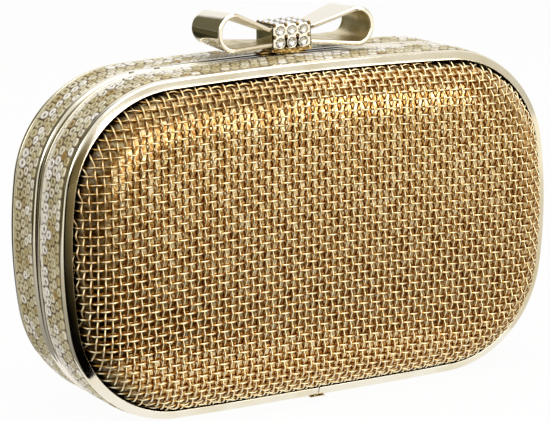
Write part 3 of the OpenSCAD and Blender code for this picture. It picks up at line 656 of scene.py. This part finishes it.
def pillow_normal(x, z):
    s = np.clip((depth_below(x, z) - mesh_edge) / dome_edge, 1e-4, 1)
    step = 0.05
    out_x = depth_below(x - step, z) - depth_below(x + step, z)
    out_z = depth_below(x, z - step) - depth_below(x, z + step)
    size = np.hypot(out_x, out_z) + 1e-9
    outward = (1 - s) ** (dome_power - 1) / dome_edge
    upward = swell(s) ** (dome_power - 1) / dome_rise
    tilt_x = 2 * crown_rise * x / half_w ** 2
    tilt_z = 2 * crown_rise * (z - half_h) / half_h ** 2
    n = np.stack([outward * out_x / size + upward * tilt_x, -upward, outward * out_z / size + upward * tilt_z], -1)
    return n / np.linalg.norm(n, axis=-1, keepdims=True)


def face_way(x, z):
    """Direction of places on the face from its middle, as shares across and up."""
    way = np.stack([x / half_w, z / half_h - 1])
    return way / (np.hypot(*way) + 1e-6)


def corner_shade(x, z, gain, most):
    """How far places lie in the upper left corner of the face, and the painted shade there from the rim inwards."""
    across, upward = face_way(x, z)
    corner = clamp(upward * 0.8 - across * 0.9 - 0.75)
    return corner, np.clip(gain * corner, 0, most) * clamp(1 - (depth_below(x, z) - 9) / 16)


def lengths(line):
    """Run along a line of points from its start."""
    return np.concatenate([[0], np.cumsum(np.linalg.norm(np.diff(line, axis=0), axis=1))])


# Lengths over the pillow along its two middle lines, to space the wires by
line_x = np.linspace(-(half_w - mesh_edge), half_w - mesh_edge, 6001)
over_x = lengths(np.stack([line_x, pillow(line_x, np.full_like(line_x, half_h))], 1))
over_x -= over_x[-1] / 2
line_z = np.linspace(mesh_edge, case_h - mesh_edge, 4001)
over_z = lengths(np.stack([line_z, pillow(np.zeros_like(line_z), line_z)], 1))
over_z -= over_z[-1] / 2


def drift(u):
    """How far the cross wires sink or rise along their way, as they were laid."""
    return 0.0272 * u + 6.96e-4 * u ** 2 - 1.97e-6 * u ** 3 - 3.9e-8 * u ** 4


def unit(vectors):
    return vectors / np.linalg.norm(vectors, axis=1, keepdims=True)


def wires(name, upright):
    """All wires that run one way, as one mesh of six-sided crimped tubes."""
    verts, faces, sunk, behind, total = [], [], [], [], 0
    crimp = upright_crimp if upright else cross_crimp
    numbers, span = (range(-40, 42), 25) if upright else (range(-24, 24), 40)
    ring = np.arange(wire_sides)
    after = (ring + 1) % wire_sides
    turn = 2 * math.pi * (ring + 0.5) / wire_sides
    cap = np.array([[0, 1, 2, 3], [3, 4, 5, 0]])
    for number in numbers:
        t = np.arange(-span, span, 1 / 24)
        col, row = (np.full_like(t, number), t) if upright else (t, np.full_like(t, number))
        v = (row + first_row) * row_pitch
        u = (col - first_column) * column_pitch + lean * v
        v = v - drift(u)
        on = (np.abs(u) < over_x[-1]) & (np.abs(v) < over_z[-1])
        x, z, t = np.interp(u[on], over_x, line_x), np.interp(v[on], over_z, line_z), t[on]
        on = depth_below(x, z) > mesh_edge + 0.02
        x, z, t = x[on], z[on], t[on]
        if len(t) < 8:
            continue
        # Neighbours are crimped the other way, and cross wires dip where upright ones rise
        wave = np.cos(math.pi * t) * (1 if number % 2 == 0 else -1) * (-1 if upright else 1)
        sink = crimp * wave - upright_crimp - wire_r
        centre = np.stack([x, -(mesh_y + pillow(x, z)), z], 1) + pillow_normal(x, z) * sink[:, None]
        run = lengths(centre)
        want = np.arange(0, run[-1], wire_step)
        centre = np.stack([np.interp(want, run, centre[:, i]) for i in range(3)], 1)
        low = np.interp(want, run, wave)
        tangent = unit(np.gradient(centre, axis=0))
        across = unit(np.cross(tangent, pillow_normal(centre[:, 0], centre[:, 2])))
        normal = np.cross(across, tangent)
        round_it = np.cos(turn)[None, :, None] * across[:, None] + np.sin(turn)[None, :, None] * normal[:, None]
        verts.append((centre[:, None] + wire_r * round_it).reshape(-1, 3))
        n = len(centre)
        first = total + np.arange(n - 1)[:, None] * wire_sides
        quads = [first + ring, first + wire_sides + ring, first + wire_sides + after, first + after]
        faces.append(np.stack(quads, -1).reshape(-1, 4))
        faces.append(np.vstack([total + cap, total + (n - 1) * wire_sides + cap[:, ::-1]]))
        # Painted shade for the material: the crimp height browns a wire where it dips, and behind browns its side
        # facing the panel and the upper left corner
        sunk.append(np.repeat(0.35 + 0.3 * low if upright else low, wire_sides))
        tarnish_and_shade = corner_shade(centre[:, 0], centre[:, 2], 1.6, 0.45)[1]
        behind.append(np.maximum(clamp(0.5 - 0.8 * np.sin(turn))[None], tarnish_and_shade[:, None]).ravel())
        total += n * wire_sides
    mesh = bpy.data.meshes.new(name)
    mesh.from_pydata(np.vstack(verts) * MM, [], np.vstack(faces), shade_flat=False)
    store(mesh, "crimp", np.concatenate(sunk))
    store(mesh, "behind", np.concatenate(behind))
    obj = bpy.data.objects.new(name, mesh)
    bpy.context.scene.collection.objects.link(obj)
    return obj


# Gilt brass wire: warm pale gold with painted shade, paler on the crests and
# browner where the wires dip, on their sides facing the panel and in the upper left corner, with faint drawing lines.
wire_gilt, tree, shader = material("Gilt brass wire", Metallic=1.0)
spot = add(tree, "TexCoord").outputs["Object"]
crimped, painted_back_shade = (add(tree, "Attribute", attribute_name=label).outputs["Fac"] for label in ("crimp", "behind"))
stain = add(tree, "TexNoise", {"Vector": spot, "Scale": 260.0, "Detail": 3.0})
level = add(tree, "Math", [crimped, stain])
tint = add(tree, "ValToRGB", [level], [(0.0, "#c08a3a"), (0.3, "#e6c378"), (0.7, "#f3dfa8"), (1.0, "#f8edca")])
back_shaded_tint = add(tree, "MixRGB", [painted_back_shade, tint, linear("#c4933f")])
gloss = add(tree, "MapRange", [stain, 0.3, 0.7, 0.28, 0.46])
bump = add(tree, "Bump", {"Height": stain, "Strength": 0.2, "Distance": 0.0001})
feed(shader, {"Base Color": back_shaded_tint, "Roughness": gloss, "Normal": bump})
for part in (wires("front_upright_wires", True), wires("front_cross_wires", False)):
    part.data.materials.append(wire_gilt)
    fit(part, "front", "_mesh")
    # The rear one is copied last, from the front one after it is fitted
    fit(mirrored(part), "rear", "_mesh")


# ---------------------------------------------------------------------------
# Panels behind the woven wire: thin sheet pressed to the same pillow shape,
# lacquered amber over metal, so it glints through every opening.
# ---------------------------------------------------------------------------
panel_edge, panel_y, panel_rise, panel_t = 4.4, 18.2, 10.6, 0.6
run = np.linspace(0, around, 361)
rows = []
for s in (-0.055, 0, 0.01, 0.04, 0.1, 0.18, 0.3, 0.45, 0.6, 0.8, 1):
    x, z = on_outline(run, panel_edge + dome_edge * s)
    rows.append(np.stack([x, -(panel_y + panel_rise * swell(max(s, 0)) + crown(x, z) * (s > 0)), z], 1))
x0, z0 = x, z
for s in (0.85, 0.7, 0.5, 0.3, 0.1, 0):
    x, z = x0 * s, half_h + (z0 - half_h) * s
    rows.append(np.stack([x, -(panel_y + panel_rise + crown(x, z)), z], 1))
front_panel = bent_grid("front_amber_panel", np.array(rows), closed=True)
change(front_panel, "SOLIDIFY", thickness=panel_t * MM, offset=-1)

# Painted shade along the sheet's rim, widest at the left, below and in the upper left corner
spots = np.empty(len(front_panel.data.vertices) * 3)
front_panel.data.vertices.foreach_get("co", spots)
x, _, z = spots.reshape(-1, 3).T / MM
left, down = clamp(-face_way(x, z))
corner, tarnish_and_shade = corner_shade(x, z, 2.2, 0.5)
dark_width = 1.4 + 6 * corner + 2.2 * left + 2.4 * down * (0.4 + left) + 3 * left * down
store(front_panel.data, "rim_shade", np.maximum(clamp(1 - (depth_below(x, z) - 4.5) / dark_width), tarnish_and_shade))

# Polished gilt sheet under a thin amber lacquer: a warm mirror that doubles
# the wires in front of it, a little uneven, and dull with painted shade, near black, at its edge.
amber, tree, shader = material("Amber lacquered mirror sheet", Metallic=1.0, Coat_Weight=0.22, Coat_Roughness=0.08)
spot = add(tree, "TexCoord").outputs["Object"]
flow = add(tree, "TexNoise", {"Vector": spot, "Scale": 320.0, "Detail": 4.0, "Roughness": 0.6})
patch = add(tree, "TexNoise", {"Vector": spot, "Scale": 900.0, "Detail": 3.0})
mix = add(tree, "TexNoise", {"Vector": spot, "Scale": 560.0, "Detail": 3.0, "Roughness": 0.6})
tint = add(tree, "ValToRGB", [mix], [(0.36, "#80501a"), (0.45, "#aa7c3c"), (0.53, "#d0b06e"), (0.62, "#eddcb4")])
bump = add(tree, "Bump", {"Height": flow, "Strength": 0.35, "Distance": 0.0004})
bump = add(tree, "Bump", {"Height": patch, "Strength": 0.35, "Distance": 0.0002, "Normal": bump})
# Painted shade along the rim: near black and dull
edge_shade = add(tree, "Attribute", attribute_name="rim_shade").outputs["Fac"]
edged = add(tree, "MixRGB", [edge_shade, tint, linear("#120a05")])
rough = add(tree, "MapRange", [edge_shade, 0.0, 1.0, 0.08, 0.6])
feed(shader, {"Base Color": edged, "Roughness": rough, "Normal": bump})
front_panel.data.materials.append(amber)
for half, sheet in (("front", front_panel), ("rear", mirrored(front_panel))):
    fit(sheet, half, "_panel")


# ---------------------------------------------------------------------------
# The bow's loops: wide strip of gilt brass, polished outside and brushed
# inside, bent into a loop on each side and brazed to the knot.
# ---------------------------------------------------------------------------
knot_w, knot_d, strand_low, strand_high = 15.2, 11.6, 3.0, 9.4
ribbon_t, root_w, end_w, loop_x, loop_reach = 1.5, 11.0, 19.5, 24.3, 6.0


def loop_line(r, centre):
    """x, z of one edge of a loop, from the lower strand at the knot round to the upper one."""
    narrow = loop_reach / r
    root = (knot_w / 2 - loop_x) / narrow
    begin, end = (root, strand_low - centre), (root, strand_high - centre)
    a = heading(begin) + math.acos(r / math.hypot(*begin))
    b = heading(end) - math.acos(r / math.hypot(*end))
    turns = a + np.linspace(0, 1, 72) * ((b - a) % (2 * math.pi))
    loop = np.stack([loop_x + narrow * r * np.cos(turns), centre + r * np.sin(turns)], 1)
    first = np.linspace((knot_w / 2, strand_low), loop[0], 12)[:-1]
    last = np.linspace(loop[-1], (knot_w / 2, strand_high), 12)[1:]
    return np.vstack([first, loop, last])


def ribbon(name, centre, sign):
    """One loop of strip: the sheet is bent as a grid, given its thickness inwards, and its edges are broken."""
    front, rear = loop_line(6.8, centre), loop_line(5.8, centre)
    rows = []
    for t in np.linspace(0, 1, 15):
        line = front * (1 - t) + rear * t
        share = clamp((line[:, 0] - knot_w / 2) / (loop_x - knot_w / 2))
        half = (root_w + (end_w - root_w) * share) / 2
        rows.append(np.stack([sign * line[:, 0], half * (2 * t - 1), case_h + line[:, 1]], 1))
    obj = bent_grid(name, np.array(rows))
    obj.data.materials.append(bow_gilt)
    obj.data.materials.append(bow_brushed)
    if sign > 0:
        with editing(obj):
            bpy.ops.mesh.flip_normals()
    change(obj, "SOLIDIFY", thickness=ribbon_t * MM, offset=-1, use_even_offset=True, material_offset=1)
    change(obj, "BEVEL", width=0.3 * MM, segments=3, limit_method="ANGLE", angle_limit=math.radians(50))
    return smooth(obj, 40)


# Polished strip: pale gold mirror with slight ripples from bending
bow_gilt, tree, shader = material("Polished gilt strip", Base_Color=linear("#f0e9d8"), Metallic=1.0)
spot = add(tree, "TexCoord").outputs["Object"]
ripple = add(tree, "TexNoise", {"Vector": spot, "Scale": 90.0, "Detail": 1.5})
smear = add(tree, "TexNoise", {"Vector": spot, "Scale": 220.0, "Detail": 4.0})
gloss = add(tree, "MapRange", [smear, 0.35, 0.7, 0.05, 0.16])
bump = add(tree, "Bump", {"Height": ripple, "Strength": 0.12, "Distance": 0.0008})
feed(shader, {"Roughness": gloss, "Normal": bump})

# Brushed inner side: the same plate left with the marks of an abrasive wheel
bow_brushed, tree, shader = material("Brushed gilt strip", Metallic=1.0)
spot = add(tree, "TexCoord").outputs["Object"]
streaks = add(tree, "Mapping", {"Vector": spot, "Scale": (160, 1400, 160)})
brush = add(tree, "TexNoise", {"Vector": streaks, "Scale": 1.0, "Detail": 3.0})
blot = add(tree, "TexNoise", {"Vector": spot, "Scale": 260.0, "Detail": 4.0})
tint = add(tree, "ValToRGB", [blot], [(0.32, "#c8b788"), (0.5, "#e2d4ac"), (0.7, "#f2e8cc")])
gloss = add(tree, "MapRange", [brush, 0.3, 0.7, 0.26, 0.48])
bump = add(tree, "Bump", {"Height": brush, "Strength": 0.3, "Distance": 0.0001})
feed(shader, {"Base Color": tint, "Roughness": gloss, "Normal": bump})
left_loop = ribbon("bow_ribbon_left", 9.7, -1)
right_loop = ribbon("bow_ribbon_right", 8.2, 1)
for loop, node in ((left_loop, "bow_loop_left"), (right_loop, "bow_loop_right")):
    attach(loop, "bow")
    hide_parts(node)


# ---------------------------------------------------------------------------
# The knot: a hollow gilt box with a round seat for each crystal on its front,
# top and rear, raised collars round the seats and claw beads between them.
# ---------------------------------------------------------------------------
knot_low, knot_high, knot_wall = 119.3, 127.8, 1.05
seat_r, collar_r, collar_wire_r, bead_r, pit_r = 1.8, 1.86, 0.13, 0.52, 0.72
stone_pitch, stone_rise, stone_run, stone_z = 4.5, 4.1, 3.75, 121.5
front_turn, rear_turn, top_turn = (Matrix.Rotation(math.radians(a), 4, "X") for a in (90, -90, 0))


def knot_spots(columns, rises, runs):
    """Spots on the knot's front, rear and top, each with the turn to that side, counted in pitches."""
    found = {"front": [], "rear": [], "top": []}
    for column in columns:
        for row in rises:
            for side, turn, y in (("front", front_turn, -knot_d / 2), ("rear", rear_turn, knot_d / 2)):
                found[side].append((turn, (column * stone_pitch, y, stone_z + row * stone_rise)))
        for row in runs:
            found["top"].append((top_turn, (column * stone_pitch, row * stone_run, knot_high)))
    return found


seats = knot_spots((-1, 0, 1), (0, 1), (-1, 0, 1))
claws = knot_spots((-1.5, -0.5, 0.5, 1.5), (-0.5, 0.5, 1.5), (-1.5, -0.5, 0.5, 1.5))
all_seats, all_claws = sum(seats.values(), []), sum(claws.values(), [])


def copies(pattern, name, spots):
    """Copies of one mesh, each turned to its face of the knot and set on its spot, joined as one piece."""
    made = [twin(pattern, Matrix.Translation(Vector(place) * MM) @ turn) for turn, place in spots]
    active(made[0])
    for other in made:
        other.select_set(True)
    bpy.ops.object.join()
    made[0].name = made[0].data.name = name
    return made[0]


def drills(radius, sides, depth, lift, groups):
    """Round cutters for each group of spots."""
    drill = start(
        bpy.ops.mesh.primitive_cylinder_add, vertices=sides, radius=radius * MM, depth=depth * MM,
        location=(0, 0, lift * MM)
    )
    made = [copies(drill, "drills", spots) for spots in groups]
    bpy.data.objects.remove(drill)
    return made


knot = block((-knot_w / 2, -knot_d / 2, knot_low), (knot_w / 2, knot_d / 2, knot_high), 0.45)
knot.name = knot.data.name = "knot_box"
inner_w, inner_d = knot_w / 2 - knot_wall, knot_d / 2 - knot_wall
hollow = block((-inner_w, -inner_d, knot_low - 1), (inner_w, inner_d, knot_high - knot_wall))
cut(knot, hollow, *drills(seat_r, 32, 2, 0.25, [all_seats]), *drills(pit_r, 16, 1, 0.1, claws.values()))
smooth(knot, 35)

# Aged gilt: the same plate gone brown where polish never reaches, on the claw beads; on the clasp parts under the knot
# its darkness is painted shade
aged_and_shaded_gilt, tree, shader = material("Aged gilt brass with painted shade", Metallic=1.0, Roughness=0.3)
spot = add(tree, "TexCoord").outputs["Object"]
tarnish_and_shade = add(tree, "TexNoise", {"Vector": spot, "Scale": 700.0, "Detail": 3.0})
tint = add(tree, "ValToRGB", [tarnish_and_shade], [(0.35, "#5a3f18"), (0.5, "#a08248"), (0.66, "#d8c08a")])
feed(shader, {"Base Color": tint})
# Painted shade: near-black gilt inside the pits round the claw beads
pit_shade = material("Painted shade in the claw pits", Base_Color=linear("#1c1208"), Metallic=1.0, Roughness=0.6)[0]
knot.data.materials.append(bow_gilt)
knot.data.materials.append(pit_shade)
# The faces inside the claw pits take the painted shade
for face in knot.data.polygons:
    for turn, place in all_claws:
        off = turn.inverted() @ (face.center / MM - Vector(place))
        if off.z < -0.02 and off.xy.length < pit_r + 0.01:
            face.material_index = 1

collar = start(
    bpy.ops.mesh.primitive_torus_add, major_radius=collar_r * MM, minor_radius=collar_wire_r * MM,
    major_segments=32, minor_segments=8
)
bead = start(bpy.ops.mesh.primitive_ico_sphere_add, subdivisions=2, radius=bead_r * MM)
pieces = [knot]
for pattern, name, spots, finish in (
    (collar, "crystal_collars", all_seats, bow_gilt), (bead, "claw_beads", all_claws, aged_and_shaded_gilt)
):
    active(pattern)
    bpy.ops.object.shade_smooth()
    pieces.append(copies(pattern, name, spots))
    pieces[-1].data.materials.append(finish)
    bpy.data.objects.remove(pattern)
for piece in pieces:
    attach(piece, "bow")
    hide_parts("knot")


# ---------------------------------------------------------------------------
# Crystals: clear cut glass with a flat table, a ring of crown facets and a
# pointed foiled back, pressed into the seats.
# ---------------------------------------------------------------------------
# Rings of corners from the table down to the point: count, radius, height and shift in steps
spots = []
for count, r, z, shift in (
    (8, 0.86, 0.68, 0), (8, 1.36, 0.42, 0.5), (16, 1.76, 0.04, 0), (16, 1.76, -0.06, 0), (8, 0.85, -0.44, 0.5)
):
    for i in range(count):
        t = 2 * math.pi * (i + shift) / count
        spots.append((r * math.cos(t) * MM, r * math.sin(t) * MM, z * MM))
spots.append((0, 0, -0.7 * MM))
mesh = bpy.data.meshes.new("cut_crystal")
mesh.from_pydata(spots, [], [])
gem = bpy.data.objects.new("cut_crystal", mesh)
bpy.context.scene.collection.objects.link(gem)
with editing(gem):
    bpy.ops.mesh.convex_hull()

# Crystal glass with a bright foil at its back: clear, colourless, sharp
# facets that throw small white and grey flashes.
crystal, tree, shader = material("Cut crystal glass", Base_Color=linear("#fbfcff"), IOR=1.55, Transmission_Weight=1.0)
spot = add(tree, "TexCoord").outputs["Object"]
trace = add(tree, "TexNoise", {"Vector": spot, "Scale": 500.0, "Detail": 2.0})
feed(shader, {"Roughness": add(tree, "MapRange", [trace, 0.4, 0.8, 0.0, 0.06])})
foil = material("Silver mirror foil", Base_Color=linear("#f4f4f2"), Metallic=1.0, Roughness=0.05)[0]
for facet in gem.data.polygons:
    facet.material_index = 1 if facet.normal.z < -0.2 else 0
for side in ("front", "top", "rear"):
    stones = copies(gem, side + "_cut_crystals", seats[side])
    stones.data.materials.append(crystal)
    stones.data.materials.append(foil)
    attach(stones, "bow")
    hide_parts(side + "_crystals")
bpy.data.objects.remove(gem)


# ---------------------------------------------------------------------------
# Inside and under the case: the pressed metal walls, hinge, clasp and clips
# keep their CAD shapes and get the finish of gilt and of hard steel parts.
# ---------------------------------------------------------------------------
case_gilt, tree, shader = material("Satin gilt brass", Metallic=1.0)
spot = add(tree, "TexCoord").outputs["Object"]
wear = add(tree, "TexNoise", {"Vector": spot, "Scale": 150.0, "Detail": 5.0})
tint = add(tree, "ValToRGB", [wear], [(0.3, "#b39a62"), (0.5, "#cdb988"), (0.72, "#ddcda4")])
feed(shader, {"Base Color": tint, "Roughness": add(tree, "MapRange", [wear, 0.3, 0.7, 0.22, 0.42])})

steel, tree, shader = material("Hard drawn steel", Base_Color=linear("#b9b4a8"), Metallic=1.0)
spot = add(tree, "TexCoord").outputs["Object"]
drawn = add(tree, "TexNoise", {"Vector": spot, "Scale": 800.0, "Detail": 3.0})
feed(shader, {"Roughness": add(tree, "MapRange", [drawn, 0.3, 0.7, 0.18, 0.34])})

for finish, nodes in (
    (case_gilt, (
        "rear_shell", "front_shell", "rear_rim_clip", "front_rim_clip", "rear_hinge_leaf", "front_hinge_leaf",
        "rear_hinge_rivets", "front_hinge_rivets", "strike",
    )),
    # The clasp parts under the knot get the aged gilt, dark as painted shade
    (aged_and_shaded_gilt, ("clasp_base", "clasp_base_rivets", "clasp_lever", "clasp_hook")),
    (steel, ("hinge_pin", "clasp_pin", "clasp_spring")),
):
    for node in nodes:
        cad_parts[node].data.materials.clear()
        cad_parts[node].data.materials.append(finish)


# ---------------------------------------------------------------------------
# The lining: black satin drawn over a stiff card strip and a floor card in
# each half, with soft turned edges.
# ---------------------------------------------------------------------------
satin, tree, shader = material("Black satin", Roughness=0.42, Sheen_Weight=0.4, Sheen_Roughness=0.4)
spot = add(tree, "TexCoord").outputs["Object"]
threads = add(tree, "Mapping", {"Vector": spot, "Scale": (2600, 700, 2600)})
weave = add(tree, "TexNoise", {"Vector": threads, "Scale": 1.0, "Detail": 2.0})
tint = add(tree, "ValToRGB", [weave], [(0.3, "#120f0d"), (0.7, "#2a2420")])
bump = add(tree, "Bump", {"Height": weave, "Strength": 0.3, "Distance": 0.0001})
feed(shader, {"Base Color": tint, "Normal": bump})
wall_section = (
    [(3.35, 16.0), (2.15, 16.0), (2.15, 3.6)] + arc_section((2.65, 3.6), 0.5, 180, 270, 5)[1:]
    + arc_section((2.85, 3.6), 0.5, 270, 360, 5) + [(3.35, 8.0), (3.35, 12.0)]
)
front_wall = swept("front_lining_strip", wall_section, 500)
hinge_notch = block((-24.1, -8.95, -1), (24.1, 0, 10))
cut(front_wall, hinge_notch)
smooth(front_wall, 50)

# The floor card, from its outer side over its turned edge to its inner side
rows = round_case([(30, 17.3), (3.0, 17.3), (2.2, 17.1), (2.2, 16.4), (2.9, 16.1), (8, 16.12), (30, 16.2)], 360)
first, last = rows[0], rows[-1]
middle = np.array([0, 0, half_h])
for s in (0.5, 0.0):
    shrink = np.array([s, 1, s])
    rows.insert(0, middle + (first - middle) * shrink)
    rows.append(middle + (last - middle) * shrink)
front_floor = smooth(bent_grid("front_lining_card", np.array(rows), closed=True), 50)
for part, node in ((front_wall, "_lining_wall"), (front_floor, "_lining_floor")):
    part.data.materials.append(satin)
    fit(part, "front", node)
    # Copied last, as the rear wires are
    fit(mirrored(part), "rear", node)
